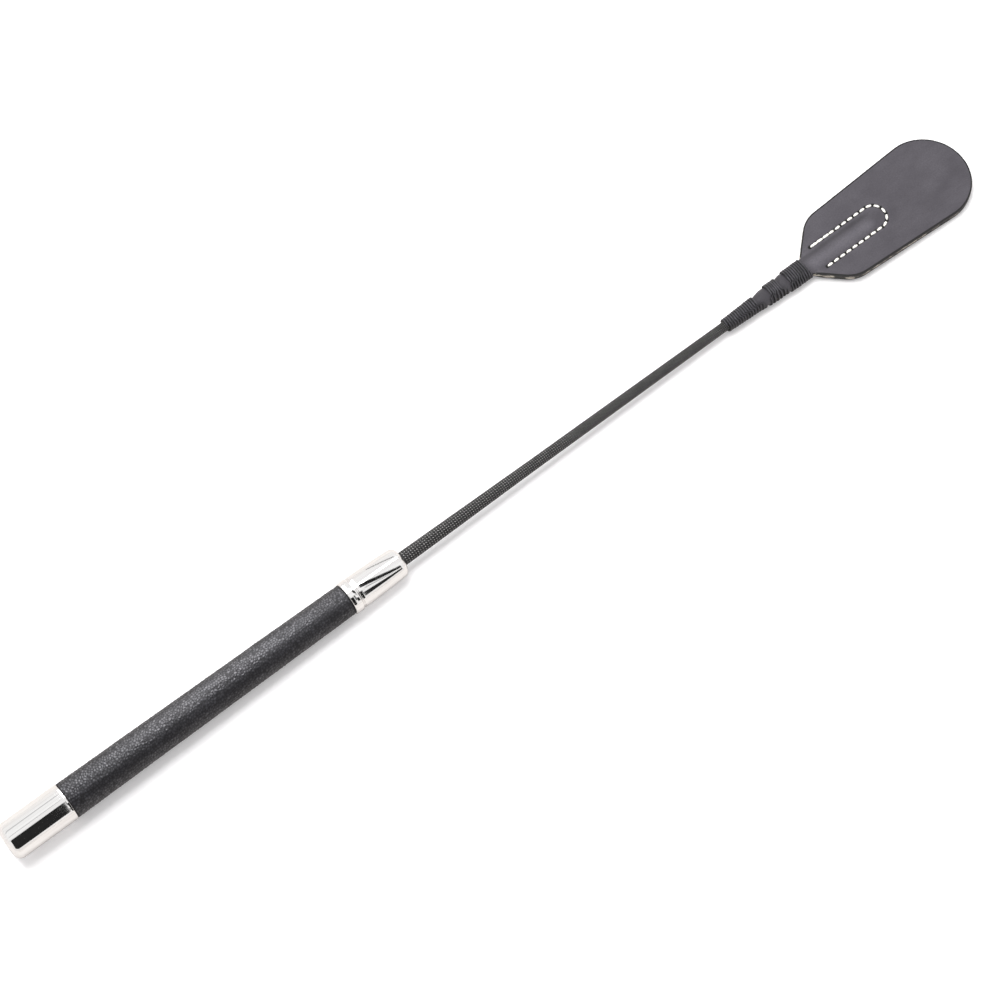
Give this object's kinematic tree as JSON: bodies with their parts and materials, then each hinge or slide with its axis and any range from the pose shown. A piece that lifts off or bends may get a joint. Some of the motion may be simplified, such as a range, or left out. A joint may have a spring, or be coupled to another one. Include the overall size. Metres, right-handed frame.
{
  "type": "riding crop",
  "caption": "Short riding crop: plated butt cap, leather grip, plated ferrule, braided flexible shaft and a stitched leather keeper bound on with thread.",
  "frame": {"origin": "centre of the flat end face of the butt cap", "axes": "+X along the shaft from the butt to the keeper, +Z square to the keeper's front face, +Y across the keeper"},
  "size_m": [0.5, 0.0404, 0.0164],
  "materials": {
    "plated_metal": "mirror polished plate",
    "turned_wood": "turned beech, unfinished",
    "grip_leather": "pebble grain, satin",
    "glass_fibre": "ground glass fibre rod",
    "nylon_braid": "fine round braid",
    "keeper_leather": "smooth, semi-matt, dyed edge",
    "waxed_thread": "waxed",
    "white_thread": "lightly waxed"
  },
  "bodies": {
    "handle": {"butt_cap": "plated_metal", "grip_core": "turned_wood", "grip_cover": "grip_leather", "ferrule": "plated_metal", "shaft_rod": "glass_fibre", "shaft_braid": "nylon_braid"},
    "shaft_tip": {"whipping_lower": "waxed_thread", "whipping_middle": "waxed_thread", "whipping_upper": "waxed_thread", "keeper_stitching": "white_thread", "keeper_bobbin_thread": "white_thread"},
    "keeper": {"keeper_front": "keeper_leather", "keeper_back": "keeper_leather"}
  },
  "joints": [
    {"name": "shaft_flex", "type": "hinge", "parent": "handle", "child": "shaft_tip", "pos_m": [0.28, 0, 0], "axis": [0, 1, 0], "range_deg": [-20, 20], "stiffness_Nm_per_rad": 2, "deforming": ["shaft_rod", "shaft_braid"]},
    {"name": "keeper_flex", "type": "hinge", "parent": "shaft_tip", "child": "keeper", "pos_m": [0.466, 0, 0], "axis": [0, 1, 0], "range_deg": [-35, 35], "stiffness_Nm_per_rad": 0.4, "deforming": ["keeper_front", "keeper_back"]}
  ]
}
